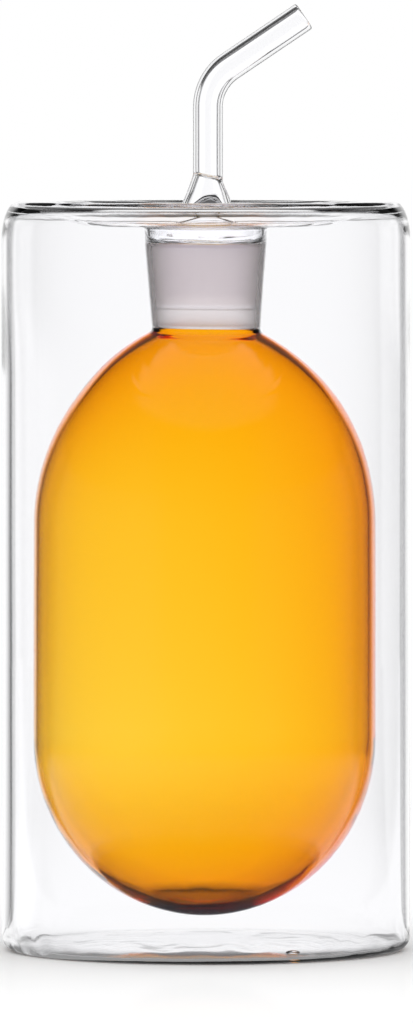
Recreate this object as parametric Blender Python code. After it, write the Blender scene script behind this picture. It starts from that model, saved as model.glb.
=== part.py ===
"""Double-walled oil bottle: a round-bottomed amber flask hung by its ground neck inside a clear glass
cylinder, closed by a hollow ground stopper that ends in a bent pouring tube.

Units are metres. Z is up, the bottle's axis is the Z axis, it stands on z = 0 and the tube bends to +X.
Every glass piece is modelled up to its weld, with a hairline gap to its neighbour.
"""

import math

import bmesh
import bpy
from mathutils import Matrix, Vector

# Outer cylinder
JACKET_RADIUS = 0.0375
JACKET_HEIGHT = 0.1374
JACKET_WALL = 0.0013
SHOULDER_WIDTH = 0.0029
SHOULDER_HEIGHT = 0.0070
INNER_SHOULDER_HEIGHT = 0.0031
HEEL_RADIUS = 0.0026
BASE_THICKNESS = 0.0013

# Vent hole in the base, through which the air left while the jacket was sealed
VENT_RADIUS = 0.0010
VENT_INSET = 0.0031
VENT_DIRECTION = math.radians(-60.6)
VENT_BEAD_RISE = 0.0005
VENT_RECESS = 0.0002

# Top plate: a flat brim, a slope and a flat-floored well with the throat in its middle
DISH_DROP = 0.0042
BRIM_WIDTH = 0.0043
WELL_WIDTH = 0.0085
DISH_ROOT_DEPTH = 0.0009
THROAT_HEIGHT = 0.0034
THROAT_FILLET_RUN = 0.0031
THROAT_FILLET_HEIGHT = 0.0014
THROAT_STEP = 0.00025
LIP_RADIUS = 0.0005
SLOPE_HANDLE_SHARE = 0.47

# Neck with the ground socket
SOCKET_RADIUS = 0.0101
SOCKET_LENGTH = 0.0156
SOCKET_WALL = 0.0011
GROUND_TAPER = 0.0805

# Amber flask
SIDE_AIR_GAP = 0.0048
FLOOR_AIR_GAP = 0.0050
FLASK_WALL = 0.0011
FLASK_FLOOR_THICKNESS = 0.0028
FLASK_END_HEIGHT = 0.0326
FLASK_SHOULDER_CURVE = 0.0395
NECK_FILLET = 0.0006

# Stopper: ground cone, collar with its disc, dome
CONE_LENGTH = 0.0118
CONE_WALL = 0.0012
CONE_EDGE_RADIUS = 0.0004
DISC_PROUD = 0.0002
DISC_EDGE_RADIUS = 0.0008
DISC_THICKNESS = 0.0012
COLLAR_WALL = 0.0012
DOME_HEIGHT = 0.0084
DOME_FOOT_RADIUS = 0.0057
DOME_FOOT_FILLET = 0.0008
DOME_WALL = 0.0011
DOME_FOOT_HANDLE_SHARE = 0.25
DOME_NECK_HANDLE_SHARE = 0.04

# Pouring tube
TUBE_RADIUS = 0.00275
TUBE_WALL = 0.0009
TUBE_RISE = 0.0179
TUBE_REACH = 0.0215
TUBE_BEND_RADIUS = 0.0094
TUBE_BEND_ANGLE = math.radians(56)

# Clearances
WELD_GAP = 0.0003
GROUND_CLEARANCE = 0.0001
CUT_OVERRUN = 0.001

# Colours, as linear red, green and blue shares
CLEAR_COLOUR_SHARES = (0.93, 0.94, 0.95)
GROUND_COLOUR_SHARES = (0.78, 0.76, 0.76)
AMBER_COLOUR_SHARES = (0.95, 0.60, 0.08)
POLISHED_ROUGHNESS = 0.02
GROUND_ROUGHNESS = 0.55

# Smoothness: counts of flat steps
TURN_STEPS = 48
VENT_STEPS = 16
CORNER_STEPS = 3
CURVE_STEPS = 5
EASE_STEPS = 6
SHOULDER_STEPS = 8
BOTTOM_STEPS = 8
FLARE_STEPS = 6
BEND_STEPS = 8
TUBE_RESOLUTION = 2
MERGE_DISTANCE = 0.000001
SMOOTH_ANGLE = math.radians(35)

# Heights and radii that follow from the sizes above
MOUTH_Z = JACKET_HEIGHT - DISH_DROP
SOCKET_TOP_Z = MOUTH_Z - THROAT_HEIGHT
SOCKET_BOTTOM_Z = SOCKET_TOP_Z - SOCKET_LENGTH
THROAT_RADIUS = SOCKET_RADIUS + THROAT_STEP
NECK_RADIUS = SOCKET_RADIUS - GROUND_TAPER * SOCKET_LENGTH
FLASK_RADIUS = JACKET_RADIUS - JACKET_WALL - SIDE_AIR_GAP
FLASK_BOTTOM_Z = BASE_THICKNESS + FLOOR_AIR_GAP
DISC_Z = MOUTH_Z + DISC_PROUD
DOME_TOP_Z = DISC_Z + DOME_HEIGHT
TUBE_BORE = TUBE_RADIUS - TUBE_WALL


def clear_scene():
    """Start from an empty scene."""
    for existing in list(bpy.data.objects):
        bpy.data.objects.remove(existing, do_unlink=True)


def glass(name, colour, roughness):
    """A plain Principled glass with the piece's colour."""
    material = bpy.data.materials.new(name)
    material.use_nodes = True
    shader = material.node_tree.nodes["Principled BSDF"]
    shader.inputs["Base Color"].default_value = (*colour, 1.0)
    shader.inputs["Roughness"].default_value = roughness
    shader.inputs["Metallic"].default_value = 0.0
    shader.inputs["Transmission Weight"].default_value = 1.0
    material.diffuse_color = (*colour, 1.0)
    return material


def world_place(carrier):
    """World location of an unturned empty, added up through its parents."""
    place = Vector(carrier.location)
    while carrier.parent:
        carrier = carrier.parent
        place += carrier.location
    return place


def axis_empty(name, height, carrier=None):
    """An empty on the bottle's axis that carries the pieces of one body, itself carried by another."""
    empty = bpy.data.objects.new(name, None)
    empty.location = (0.0, 0.0, height)
    bpy.context.collection.objects.link(empty)
    if carrier:
        empty.location -= world_place(carrier)
        empty.parent = carrier
    return empty


def arc(centre, radii, start, end, steps):
    """Points of an elliptical arc in the (radius, height) plane, both ends included."""
    points = []
    for step in range(steps + 1):
        angle = start + (end - start) * step / steps
        points.append((centre[0] + radii[0] * math.cos(angle), centre[1] + radii[1] * math.sin(angle)))
    return points


def bezier(start, start_handle, end_handle, end, steps):
    """Points of a cubic curve in the (radius, height) plane, both ends included."""
    corners = [Vector(corner) for corner in (start, start_handle, end_handle, end)]
    points = []
    for step in range(steps + 1):
        along = step / steps
        back = 1 - along
        weights = (back**3, 3 * back**2 * along, 3 * back * along**2, along**3)
        points.append(tuple(sum((w * c for w, c in zip(weights, corners)), Vector((0.0, 0.0)))))
    return points


def rounded(start, corner, end):
    """Points that round a corner between two points, both ends included."""
    points = []
    for step in range(CORNER_STEPS + 1):
        along = step / CORNER_STEPS
        back = 1 - along
        weights = (back**2, 2 * back * along, along**2)
        points.append(tuple(sum(w * c[k] for w, c in zip(weights, (start, corner, end))) for k in (0, 1)))
    return points


def without_repeats(outline):
    """The outline with neighbouring equal points merged."""
    kept = []
    for point in outline:
        if not kept or math.dist(point, kept[-1]) > MERGE_DISTANCE:
            kept.append(point)
    return kept


def finish_mesh(bm, name):
    """Merge the seam, point the faces outwards and shade the round faces smooth."""
    bmesh.ops.remove_doubles(bm, verts=bm.verts, dist=MERGE_DISTANCE)
    bmesh.ops.recalc_face_normals(bm, faces=bm.faces)
    mesh = bpy.data.meshes.new(name)
    bm.to_mesh(mesh)
    bm.free()
    mesh.shade_smooth()
    mesh.set_sharp_from_angle(angle=SMOOTH_ANGLE)
    return mesh


def turned_mesh(name, outline, seat_z, steps, open_ended):
    """Spin an outline of (radius, height) points round the Z axis, with seat_z brought to zero.

    open_ended outlines start and end on the axis; the others are closed rings.
    """
    bm = bmesh.new()
    points = without_repeats(outline)
    verts = [bm.verts.new((radius, 0.0, height - seat_z)) for radius, height in points]
    pairs = list(zip(verts, verts[1:]))
    if not open_ended:
        pairs.append((verts[-1], verts[0]))
    edges = [bm.edges.new(pair) for pair in pairs]
    bmesh.ops.spin(
        bm,
        geom=verts + edges,
        cent=(0.0, 0.0, 0.0),
        axis=(0.0, 0.0, 1.0),
        angle=2 * math.pi,
        steps=steps,
        use_merge=True,
    )
    return finish_mesh(bm, name)


def add_piece(name, mesh, material, carrier, location):
    """Link a piece that is carried by an empty, at a world location."""
    piece = bpy.data.objects.new(name, mesh)
    mesh.materials.append(material)
    bpy.context.collection.objects.link(piece)
    piece.parent = carrier
    piece.location = Vector(location) - world_place(carrier)
    return piece


def turned_piece(name, outline, seat_z, material, carrier, open_ended=False):
    """A turned piece on the bottle's axis, with its origin at seat_z."""
    mesh = turned_mesh(name, outline, seat_z, TURN_STEPS, open_ended)
    return add_piece(name, mesh, material, carrier, (0.0, 0.0, seat_z))


def outer_jacket(material, carrier):
    """The straight tube with its soft shoulder, from the heel to the top plate."""
    foot_z = HEEL_RADIUS + WELD_GAP
    rim_radius = JACKET_RADIUS - SHOULDER_WIDTH
    outer_centre = (rim_radius, JACKET_HEIGHT - SHOULDER_HEIGHT)
    inner_centre = (rim_radius, JACKET_HEIGHT - JACKET_WALL - INNER_SHOULDER_HEIGHT)
    inner = (SHOULDER_WIDTH - JACKET_WALL, INNER_SHOULDER_HEIGHT)
    outline = [(JACKET_RADIUS, foot_z)]
    outline += arc(outer_centre, (SHOULDER_WIDTH, SHOULDER_HEIGHT), 0.0, math.pi / 2, CURVE_STEPS)
    outline += arc(inner_centre, inner, math.pi / 2, 0.0, CORNER_STEPS)
    outline.append((JACKET_RADIUS - JACKET_WALL, foot_z))
    return turned_piece("outer_jacket", outline, foot_z, material, carrier)


def vent_place(height):
    """The point on the vent hole's axis at a height."""
    distance = JACKET_RADIUS - HEEL_RADIUS - VENT_INSET
    return Vector((distance * math.cos(VENT_DIRECTION), distance * math.sin(VENT_DIRECTION), height))


def base_disc(material, carrier):
    """The flat bottom with its rounded heel, drilled for the vent."""
    centre = (JACKET_RADIUS - HEEL_RADIUS, HEEL_RADIUS)
    inner = (HEEL_RADIUS - JACKET_WALL, HEEL_RADIUS - BASE_THICKNESS)
    outline = [(0.0, 0.0)]
    outline += arc(centre, (HEEL_RADIUS, HEEL_RADIUS), -math.pi / 2, 0.0, CORNER_STEPS)
    outline += arc(centre, inner, 0.0, -math.pi / 2, CORNER_STEPS)
    outline.append((0.0, BASE_THICKNESS))
    disc = turned_piece("base_disc", outline, 0.0, material, carrier, open_ended=True)

    bm = bmesh.new()
    bmesh.ops.create_cone(
        bm,
        cap_ends=True,
        segments=VENT_STEPS,
        radius1=VENT_RADIUS + WELD_GAP,
        radius2=VENT_RADIUS + WELD_GAP,
        depth=BASE_THICKNESS + 2 * CUT_OVERRUN,
        matrix=Matrix.Translation(vent_place(BASE_THICKNESS / 2)),
    )
    cutter = add_piece("vent_drill", finish_mesh(bm, "vent_drill"), material, carrier, (0.0, 0.0, 0.0))
    cutter.hide_render = True
    cutter.display_type = "WIRE"
    drill = disc.modifiers.new("vent_hole", "BOOLEAN")
    drill.operation = "DIFFERENCE"
    drill.solver = "EXACT"
    drill.object = cutter
    return disc


def vent_seal(material, carrier):
    """The melted bead that closes the vent, a little domed on the inside."""
    outline = [(0.0, VENT_RECESS), (VENT_RADIUS, VENT_RECESS)]
    outline += arc((0.0, BASE_THICKNESS), (VENT_RADIUS, VENT_BEAD_RISE), 0.0, math.pi / 2, CORNER_STEPS)
    mesh = turned_mesh("vent_seal", outline, 0.0, VENT_STEPS, True)
    return add_piece("vent_seal", mesh, material, carrier, vent_place(0.0))


def top_dish(material, carrier):
    """The plate that closes the top, sunk to a shallow well and running down into the throat above the socket."""
    rim_radius = JACKET_RADIUS - SHOULDER_WIDTH - WELD_GAP
    brim_radius = rim_radius - BRIM_WIDTH
    lip_radius = THROAT_RADIUS + LIP_RADIUS
    well_radius = lip_radius + WELL_WIDTH
    handle = SLOPE_HANDLE_SHARE * (brim_radius - well_radius)
    throat_outer = SOCKET_RADIUS + SOCKET_WALL
    throat_z = SOCKET_TOP_Z + WELD_GAP
    root_radius = throat_outer + THROAT_FILLET_RUN
    root_z = MOUTH_Z - DISH_ROOT_DEPTH
    under_z = JACKET_HEIGHT - JACKET_WALL

    outline = [(rim_radius, JACKET_HEIGHT)]
    outline += bezier(
        (brim_radius, JACKET_HEIGHT),
        (brim_radius - handle, JACKET_HEIGHT),
        (well_radius + handle, MOUTH_Z),
        (well_radius, MOUTH_Z),
        EASE_STEPS,
    )
    outline += rounded((lip_radius, MOUTH_Z), (THROAT_RADIUS, MOUTH_Z), (THROAT_RADIUS, MOUTH_Z - LIP_RADIUS))
    outline += [(THROAT_RADIUS, throat_z), (throat_outer, throat_z)]
    fillet_z = root_z - THROAT_FILLET_HEIGHT
    outline += rounded((throat_outer, fillet_z), (throat_outer, root_z), (root_radius, root_z))
    outline += bezier(
        (well_radius, root_z),
        (well_radius + handle, root_z),
        (brim_radius - handle, under_z),
        (brim_radius, under_z),
        EASE_STEPS,
    )
    outline.append((rim_radius, under_z))
    return turned_piece("top_dish", outline, throat_z, material, carrier)


def socket_radius_at(height):
    """Inner radius of the ground socket at a height."""
    return SOCKET_RADIUS - GROUND_TAPER * (SOCKET_TOP_Z - height)


def neck_socket(material, carrier):
    """The tapered neck, ground on its inside to take the stopper."""
    foot_z = SOCKET_BOTTOM_Z + WELD_GAP
    foot_radius = socket_radius_at(foot_z)
    outline = [
        (SOCKET_RADIUS, SOCKET_TOP_Z),
        (foot_radius, foot_z),
        (foot_radius + SOCKET_WALL, foot_z),
        (SOCKET_RADIUS + SOCKET_WALL, SOCKET_TOP_Z),
    ]
    return turned_piece("neck_socket", outline, foot_z, material, carrier)


def shoulder_height(radius, curve, centre):
    """Height at which a shoulder of this curve radius has the given radius."""
    return centre[1] + math.sqrt(curve**2 - (radius - centre[0]) ** 2)


def shoulder_line(neck_radius, curve, centre):
    """One wall of the flask's shoulder, from the cylinder up to the neck, with the small neck fillet."""
    end_radius = neck_radius + NECK_FILLET
    end_angle = math.acos((end_radius - centre[0]) / curve)
    corner_z = shoulder_height(neck_radius, curve, centre)
    line = arc(centre, (curve, curve), 0.0, end_angle, SHOULDER_STEPS)
    line += rounded(line[-1], (neck_radius, corner_z), (neck_radius, SOCKET_BOTTOM_Z))
    return line


def inner_flask(material, carrier):
    """The amber flask: round bottom with a small flat floor inside, straight side and long shoulder."""
    neck_outer = NECK_RADIUS + SOCKET_WALL
    centre_radius = FLASK_RADIUS - FLASK_SHOULDER_CURVE
    corner_z = SOCKET_BOTTOM_Z - NECK_FILLET
    rise = math.sqrt(FLASK_SHOULDER_CURVE**2 - (neck_outer - centre_radius) ** 2)
    shoulder_centre = (centre_radius, corner_z - rise)
    bottom_centre = (0.0, FLASK_BOTTOM_Z + FLASK_END_HEIGHT)
    outer_bottom = (FLASK_RADIUS, FLASK_END_HEIGHT)
    inner_bottom = (FLASK_RADIUS - FLASK_WALL, FLASK_END_HEIGHT - FLASK_WALL)
    floor_z = FLASK_BOTTOM_Z + FLASK_FLOOR_THICKNESS
    floor_angle = -math.asin((bottom_centre[1] - floor_z) / inner_bottom[1])

    outline = arc(bottom_centre, outer_bottom, -math.pi / 2, 0.0, BOTTOM_STEPS)
    outline += shoulder_line(neck_outer, FLASK_SHOULDER_CURVE, shoulder_centre)
    inner_line = shoulder_line(NECK_RADIUS, FLASK_SHOULDER_CURVE - FLASK_WALL, shoulder_centre)
    outline += reversed(inner_line)
    outline += arc(bottom_centre, inner_bottom, 0.0, floor_angle, BOTTOM_STEPS)
    outline.append((0.0, floor_z))
    return turned_piece("inner_flask", outline, FLASK_BOTTOM_Z, material, carrier, open_ended=True)


def stopper_cone(material, carrier):
    """The hollow ground cone that hangs in the socket."""
    top_z = SOCKET_TOP_Z - WELD_GAP
    foot_z = top_z - CONE_LENGTH
    top_radius = socket_radius_at(top_z) - GROUND_CLEARANCE
    foot_radius = socket_radius_at(foot_z) - GROUND_CLEARANCE
    bore = foot_radius - CONE_WALL
    middle = (bore + foot_radius) / 2
    edge_z = foot_z + CONE_EDGE_RADIUS
    outline = [(top_radius, top_z), (top_radius - CONE_WALL, top_z)]
    outline += rounded((bore, edge_z), (bore, foot_z), (middle, foot_z))
    outline += rounded((middle, foot_z), (foot_radius, foot_z), (foot_radius, edge_z))
    return turned_piece("stopper_cone", outline, top_z, material, carrier)


def stopper_collar(material, carrier):
    """The clear collar above the ground cone, turned in at its top to the disc that carries the dome."""
    collar = THROAT_RADIUS - WELD_GAP
    edge = DISC_EDGE_RADIUS
    under_z = DISC_Z - DISC_THICKNESS
    hole = DOME_FOOT_RADIUS - DOME_WALL
    inner = collar - COLLAR_WALL
    outline = [(inner, SOCKET_TOP_Z), (collar, SOCKET_TOP_Z)]
    outline += rounded((collar, DISC_Z - edge), (collar, DISC_Z), (collar - edge, DISC_Z))
    outline += [(hole, DISC_Z), (hole, under_z)]
    outline += rounded((inner - edge, under_z), (inner, under_z), (inner, under_z - edge))
    return turned_piece("stopper_collar", outline, SOCKET_TOP_Z, material, carrier)


def dome_line(foot_radius, neck_radius):
    """One wall of the dome, from its foot up to the tube."""
    foot_z = DISC_Z + WELD_GAP
    start_z = foot_z + DOME_FOOT_FILLET
    rise = DOME_TOP_Z - foot_z
    return bezier(
        (foot_radius, start_z),
        (foot_radius, start_z + DOME_FOOT_HANDLE_SHARE * rise),
        (neck_radius, DOME_TOP_Z - DOME_NECK_HANDLE_SHARE * rise),
        (neck_radius, DOME_TOP_Z),
        FLARE_STEPS,
    )


def stopper_dome(material, carrier):
    """The dome that stands on the disc with a small flared foot and is drawn in to the tube."""
    foot_z = DISC_Z + WELD_GAP
    inner_foot = DOME_FOOT_RADIUS - DOME_WALL
    flare = DOME_FOOT_RADIUS + DOME_FOOT_FILLET
    outer_line = dome_line(DOME_FOOT_RADIUS, TUBE_RADIUS)
    outline = [(inner_foot, foot_z)]
    outline += rounded((flare, foot_z), (DOME_FOOT_RADIUS, foot_z), outer_line[0])
    outline += outer_line
    outline += reversed(dome_line(inner_foot, TUBE_BORE))
    return turned_piece("stopper_dome", outline, foot_z, material, carrier)


def tube_route():
    """Centre line of the pouring tube from its weld: up, round the bend and out to the lip."""
    rise = TUBE_RISE - WELD_GAP
    tangent = TUBE_BEND_RADIUS * math.tan(TUBE_BEND_ANGLE / 2)
    points = [Vector((0.0, 0.0, 0.0))]
    for step in range(BEND_STEPS + 1):
        turn = TUBE_BEND_ANGLE * step / BEND_STEPS
        across = TUBE_BEND_RADIUS * (1 - math.cos(turn))
        up = rise - tangent + TUBE_BEND_RADIUS * math.sin(turn)
        points.append(Vector((across, 0.0, up)))
    heading = Vector((math.sin(TUBE_BEND_ANGLE), 0.0, math.cos(TUBE_BEND_ANGLE)))
    points.append(Vector((0.0, 0.0, rise)) + TUBE_REACH * heading)
    return points


def spout_tube(material, carrier):
    """The bent pouring tube: a curve with a round bevel, given its wall by Solidify."""
    curve = bpy.data.curves.new("spout_tube", "CURVE")
    curve.dimensions = "3D"
    curve.bevel_depth = TUBE_RADIUS
    curve.bevel_resolution = TUBE_RESOLUTION
    curve.use_fill_caps = False
    route = tube_route()
    spline = curve.splines.new("POLY")
    spline.points.add(len(route) - 1)
    for point, place in zip(spline.points, route):
        point.co = (*place, 1.0)
    tube = add_piece("spout_tube", curve, material, carrier, (0.0, 0.0, DOME_TOP_Z + WELD_GAP))
    wall = tube.modifiers.new("wall", "SOLIDIFY")
    wall.thickness = TUBE_WALL
    wall.offset = -1.0
    wall.use_even_offset = True
    return tube


def build():
    """Make every piece of the bottle."""
    clear_scene()
    clear = glass("clear borosilicate glass", CLEAR_COLOUR_SHARES, POLISHED_ROUGHNESS)
    ground = glass("ground borosilicate glass", GROUND_COLOUR_SHARES, GROUND_ROUGHNESS)
    amber = glass("amber borosilicate glass", AMBER_COLOUR_SHARES, POLISHED_ROUGHNESS)

    bottle = axis_empty("bottle_axis", 0.0)
    outer_jacket(clear, bottle)
    base_disc(clear, bottle)
    vent_seal(clear, bottle)
    top_dish(clear, bottle)
    neck_socket(ground, bottle)
    inner_flask(amber, bottle)

    stopper = axis_empty("stopper_axis", SOCKET_TOP_Z, bottle)
    stopper_cone(ground, stopper)
    stopper_collar(clear, stopper)

    spout = axis_empty("spout_axis", DISC_Z, stopper)
    stopper_dome(clear, spout)
    spout_tube(clear, spout)


build()
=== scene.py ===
"""Looks of a double-walled oil bottle: a clear glass cylinder, an amber flask hung in it by a ground neck,
and a hollow ground stopper with a bent pouring tube.

Every piece is turned glass: an outline of (radius, height) points is spun by a Geometry Nodes tree, which
also gives the surface its hand-made waves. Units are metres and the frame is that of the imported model.
"""

import logging
import math
from dataclasses import dataclass, field
from enum import Enum
from typing import Any

import bmesh
import bpy
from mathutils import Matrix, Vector


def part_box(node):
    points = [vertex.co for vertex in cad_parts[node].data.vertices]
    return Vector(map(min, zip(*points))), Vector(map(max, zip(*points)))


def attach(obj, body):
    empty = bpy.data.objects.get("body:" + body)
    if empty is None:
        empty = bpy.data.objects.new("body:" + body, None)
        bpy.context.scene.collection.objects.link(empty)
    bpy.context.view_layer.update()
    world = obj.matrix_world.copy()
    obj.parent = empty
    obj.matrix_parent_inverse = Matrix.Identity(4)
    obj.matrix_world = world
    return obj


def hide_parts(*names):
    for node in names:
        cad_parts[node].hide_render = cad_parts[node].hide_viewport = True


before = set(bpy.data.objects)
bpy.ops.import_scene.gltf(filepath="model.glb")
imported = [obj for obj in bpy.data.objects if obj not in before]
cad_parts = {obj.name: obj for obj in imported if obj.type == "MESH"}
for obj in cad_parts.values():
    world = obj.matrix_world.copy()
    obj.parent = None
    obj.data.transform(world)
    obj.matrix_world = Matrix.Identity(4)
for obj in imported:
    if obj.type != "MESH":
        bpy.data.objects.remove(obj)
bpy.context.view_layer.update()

LOG = logging.getLogger("oil_bottle")

MM = 0.001
CUBIC_CM = 1e-6
SAME_PLACE = 1e-7
FULL_TURN = 2 * math.pi
QUARTER_TURN = math.pi / 2
WELD_GAP = 0.3 * MM  # between the solids at a weld, which the glass closes
CALM = 1 / 3  # share of the short waves that is left where the flame smoothed the glass
WAVE_ROUGHNESS = 0.4  # share of the finer waves in the noise
ALL_GROUND = 0.99  # faces whose mean grinding is above this are matt

MARKS = ("drawn", "worked", "ground", "aside")
MATH = "ShaderNodeMath"
VECTOR = "ShaderNodeVectorMath"
SPLIT = "ShaderNodeSeparateXYZ"
JOIN = "ShaderNodeCombineXYZ"
PLACE = "ShaderNodeTexCoord"
NOISE = "ShaderNodeTexNoise"
MIX = "ShaderNodeMix"
STEP = "ShaderNodeMapRange"
SMOOTH = {"interpolation_type": "SMOOTHSTEP"}

Point = tuple[float, float]
Range = tuple[float, float]
Socket = bpy.types.NodeSocket
Node = bpy.types.Node
Piece = bpy.types.Object
Material = bpy.types.Material


class Body(Enum):
    """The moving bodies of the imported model."""

    BOTTLE = "bottle"
    STOPPER = "stopper"
    SPOUT = "spout"


class Slot(Enum):
    """The record's material slots."""

    CLEAR = "clear_glass"
    GROUND = "ground_glass"
    AMBER = "amber_glass"


def linear(hex_colour: str) -> tuple[float, float, float, float]:
    """Turn an sRGB hex colour into linear red, green, blue and alpha.

    Args:
        hex_colour: Six hex digits, with or without a leading hash.

    Returns:
        The linear colour with alpha 1.
    """
    digits = hex_colour.lstrip("#")
    channels = [int(digits[k : k + 2], 16) / 255 for k in (0, 2, 4)]
    straight = [c / 12.92 if c <= 0.04045 else ((c + 0.055) / 1.055) ** 2.4 for c in channels]
    return (*straight, 1.0)


class Graph:
    """A node tree that is filled node by node."""

    def __init__(self, tree: bpy.types.NodeTree) -> None:
        """Take the tree."""
        self.tree = tree

    def set(self, node: Node, inputs: dict[str | int, Any]) -> None:
        """Give a node its values, and link those that are sockets.

        Args:
            node: The node.
            inputs: Values by input name or number.
        """
        for key, value in inputs.items():
            if isinstance(value, Socket):
                self.tree.links.new(value, node.inputs[key])
            else:
                node.inputs[key].default_value = value

    def add(self, kind: str, *values: Any, output: str | int = 0, **settings: Any) -> Socket:
        """Add one node with its settings, values and links.

        Args:
            kind: The node's type name.
            *values: Its inputs in order, or one dict of them by name or number.
            output: Which output is wanted.
            **settings: Its properties by name.

        Returns:
            That output's socket.
        """
        node = self.tree.nodes.new(kind)
        for name, value in settings.items():
            setattr(node, name, value)
        named = bool(values) and isinstance(values[0], dict)
        self.set(node, values[0] if named else dict(enumerate(values)))
        return node.outputs[output]


@dataclass
class Outline:
    """The section of a turned piece: points of (radius, height), each marked with how the glass is there."""

    points: list[Point] = field(default_factory=list)
    marks: list[dict[str, float]] = field(default_factory=list)
    mark: dict[str, float] = field(default_factory=lambda: dict.fromkeys(MARKS, 0.0))

    def glass(self, drawn: float = 0.0, worked: float = 0.0, ground: float = 0.0) -> None:
        """Set the long waves' height, the short waves' height and the grinding for the points that follow."""
        self.mark = {"drawn": drawn, "worked": worked, "ground": ground, "aside": 0.0}

    def add(self, point: Point) -> None:
        """Add one point, unless it repeats the last one.

        Args:
            point: Its radius and height.
        """
        if not self.points or math.dist(self.points[-1], point) >= SAME_PLACE:
            self.points.append(point)
            self.marks.append(self.mark)

    def curve_to(self, steps: int, *corners: Point) -> None:
        """Follow a curve to a point, which is drawn towards the corners before it.

        Args:
            steps: How many steps it takes.
            *corners: The corners and, last, the end; one corner is a rounded one, and none is a straight line.
        """
        corners = (self.points[-1], *corners)
        degree = len(corners) - 1
        for step in range(1, steps + 1):
            along = step / steps
            weights = [math.comb(degree, k) * (1 - along) ** (degree - k) * along**k for k in range(degree + 1)]
            self.add(tuple(sum(w * c[axis] for w, c in zip(weights, corners)) for axis in (0, 1)))

    def line_to(self, end: Point, spacing: float) -> None:
        """Go straight to a point, with a point every spacing."""
        self.curve_to(max(1, round(math.dist(self.points[-1], end) / spacing)), end)

    def arc(self, steps: int, centre: Point, radii: Point, start: float, end: float) -> None:
        """Follow an elliptical arc.

        Args:
            steps: How many steps it takes.
            centre: Its centre.
            radii: Its radii across and up.
            start: The angle at which it starts.
            end: The angle at which it ends.
        """
        for step in range(steps + 1):
            angle = start + (end - start) * step / steps
            self.add((centre[0] + radii[0] * math.cos(angle), centre[1] + radii[1] * math.sin(angle)))

    def lean(self, offset: float, full_z: float, end_z: float) -> None:
        """Set the points off the axis, as hand work does.

        Args:
            offset: How far towards +X.
            full_z: Height up to which the whole offset holds.
            end_z: Height above which there is none.
        """
        for k, (_, height) in enumerate(self.points):
            share = min(1.0, max(0.0, (end_z - height) / (end_z - full_z)))
            self.marks[k] = self.marks[k] | {"aside": offset * share**2 * (3 - 2 * share)}

    def extend(self, other: "Outline", backwards: bool = False) -> None:
        """Append another outline's points with their marks.

        Args:
            other: The outline to append.
            backwards: Whether its points are taken last to first.
        """
        rows = list(zip(other.points, other.marks))
        for point, self.mark in reversed(rows) if backwards else rows:
            self.add(point)

    def normals(self, closed: bool) -> list[tuple[float, float, float]]:
        """Directions across the outline at each point, which the waves move it along.

        Args:
            closed: Whether the last point joins the first.

        Returns:
            One unit vector of (radius, zero, height) a point.
        """
        last = len(self.points) - 1
        found = []
        for k, point in enumerate(self.points):
            before = self.points[k - 1] if closed or k else point
            after = self.points[0 if k == last else k + 1] if closed or k < last else point
            along = Vector((after[0] - before[0], after[1] - before[1])).normalized()
            found.append((0.0, 0.0, 1.0) if point[0] < SAME_PLACE else (along.y, 0.0, -along.x))
        return found

    def profile(self, name: str, closed: bool) -> Piece:
        """The outline as an object of bare edges that carries its marks as attributes.

        Args:
            name: The object's name.
            closed: Whether the last point joins the first.

        Returns:
            The linked object.
        """
        rows = [*range(len(self.points)), *([0] if closed else [])]
        corners = [(self.points[k][0], 0.0, self.points[k][1]) for k in rows]
        mesh = bpy.data.meshes.new(name)
        mesh.from_pydata(corners, [(k, k + 1) for k in range(len(rows) - 1)], [])
        for key in MARKS:
            layer = mesh.attributes.new(key, "FLOAT", "POINT")
            layer.data.foreach_set("value", [self.marks[k][key] for k in rows])
        normals = self.normals(closed)
        across = mesh.attributes.new("across", "FLOAT_VECTOR", "POINT")
        across.data.foreach_set("vector", [v for k in rows for v in normals[k]])
        piece = bpy.data.objects.new(name, mesh)
        bpy.context.collection.objects.link(piece)
        return piece


class NodeModifier(Graph):
    """A Geometry Nodes tree with named inputs, which is put on an object and turned into its plain mesh."""

    def __init__(self, name: str, inputs: dict[str, tuple[str, Any]]) -> None:
        """Start a tree with a geometry input and output.

        Args:
            name: The tree's name.
            inputs: Input names with their socket type and default value.
        """
        super().__init__(bpy.data.node_groups.new(name, "GeometryNodeTree"))
        face = self.tree.interface
        face.new_socket("Geometry", in_out="OUTPUT", socket_type="NodeSocketGeometry")
        face.new_socket("Geometry", in_out="INPUT", socket_type="NodeSocketGeometry")
        self.identifiers: dict[str, str] = {}
        for label, (kind, value) in inputs.items():
            socket = face.new_socket(label, in_out="INPUT", socket_type=kind)
            if value is not None:
                socket.default_value = value
            self.identifiers[label] = socket.identifier
        self.given = self.tree.nodes.new("NodeGroupInput").outputs

    def dressed(self, geometry: Socket) -> Socket:
        """The geometry made real, in its glass."""
        whole = self.add("GeometryNodeRealizeInstances", geometry)
        return self.add("GeometryNodeSetMaterial", {"Geometry": whole, "Material": self.given["Glass"]})

    def close(self, geometry: Socket) -> None:
        """Link the finished geometry to the tree's output."""
        self.set(self.tree.nodes.new("NodeGroupOutput"), {"Geometry": geometry})

    def apply(self, piece: Piece, values: dict[str, Any]) -> None:
        """Run the tree on an object and keep the result as its plain mesh.

        Args:
            piece: The object whose mesh goes in and is replaced.
            values: Input values by name.
        """
        modifier = piece.modifiers.new(self.tree.name, "NODES")
        modifier.node_group = self.tree
        for label, value in values.items():
            modifier[self.identifiers[label]] = value
        depsgraph = bpy.context.evaluated_depsgraph_get()
        made = bpy.data.meshes.new_from_object(piece.evaluated_get(depsgraph))
        piece.modifiers.remove(modifier)
        old, piece.data = piece.data, made
        bpy.data.meshes.remove(old)
        made.name = piece.name


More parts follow.
